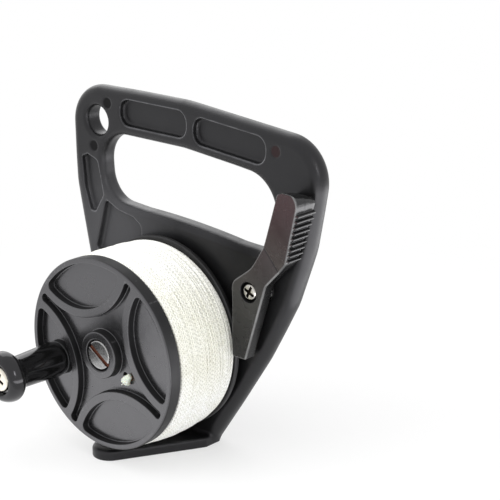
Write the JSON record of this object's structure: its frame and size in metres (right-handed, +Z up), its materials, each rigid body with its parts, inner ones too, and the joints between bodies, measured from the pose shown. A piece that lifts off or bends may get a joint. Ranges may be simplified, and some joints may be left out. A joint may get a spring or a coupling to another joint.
{
  "type": "dive reel",
  "caption": "Hand-held dive reel: a cranked spool of white braided line on a dark moulded frame with a hand opening, a lanyard hole, a flat foot and a sprung thumb brake.",
  "frame": {"origin": "On the flat underside of the foot, under the axle, in the plane of the frame plate's front face", "axes": "X to the right seen from the crank, Y from the crank to the back of the frame, Z up; the axle lies along Y"},
  "size_m": [0.1526, 0.0965, 0.1614],
  "materials": {
    "frame_plastic": "satin moulded plastic with a faint grain",
    "flange_plastic": "satin moulded plastic",
    "rear_plastic": "satin moulded plastic",
    "knob_plastic": "polished black plastic",
    "lever_plastic": "half-gloss moulded plastic",
    "line_braid": "braided synthetic line",
    "screw_steel": "bright plated steel",
    "plain_steel": "plain steel",
    "bearing_brass": "turned brass",
    "nylon": "natural nylon",
    "spring_steel": "drawn spring wire"
  },
  "bodies": {
    "frame": {"frame": "frame_plastic", "axle_bolt": "screw_steel", "axle_sleeve": "bearing_brass", "head_washer": "plain_steel", "thrust_washer": "nylon", "rear_washer": "plain_steel", "axle_nut": "plain_steel", "pivot_sleeve": "bearing_brass", "lever_washer": "nylon", "pivot_screw": "screw_steel", "pivot_nut": "plain_steel"},
    "spool": {"front_flange": "flange_plastic", "spool_drum": "rear_plastic", "rear_flange": "rear_plastic", "front_bush": "nylon", "rear_bush": "nylon", "line_core": "line_braid", "line_layer": "line_braid", "line_knot": "line_braid", "crank_spindle": "plain_steel", "knob_washer": "plain_steel", "knob_screw": "screw_steel"},
    "knob": {"crank_knob": "knob_plastic"},
    "brake": {"brake_lever": "lever_plastic", "brake_spring": "spring_steel"}
  },
  "joints": [
    {"name": "spool_turn", "type": "hinge", "parent": "frame", "child": "spool", "pos_m": [0, -0.0225, 0.0525], "axis": [0, 1, 0], "continuous": true},
    {"name": "knob_turn", "type": "hinge", "parent": "spool", "child": "knob", "pos_m": [-0.0288, -0.06, 0.04342], "axis": [0, 1, 0], "continuous": true},
    {"name": "brake_press", "type": "hinge", "parent": "frame", "child": "brake", "pos_m": [0.0556, -0.005, 0.085], "axis": [0, -1, 0], "range_deg": [0, 8], "stiffness_Nm_per_rad": 0.5, "springref_deg": -20.05}
  ]
}
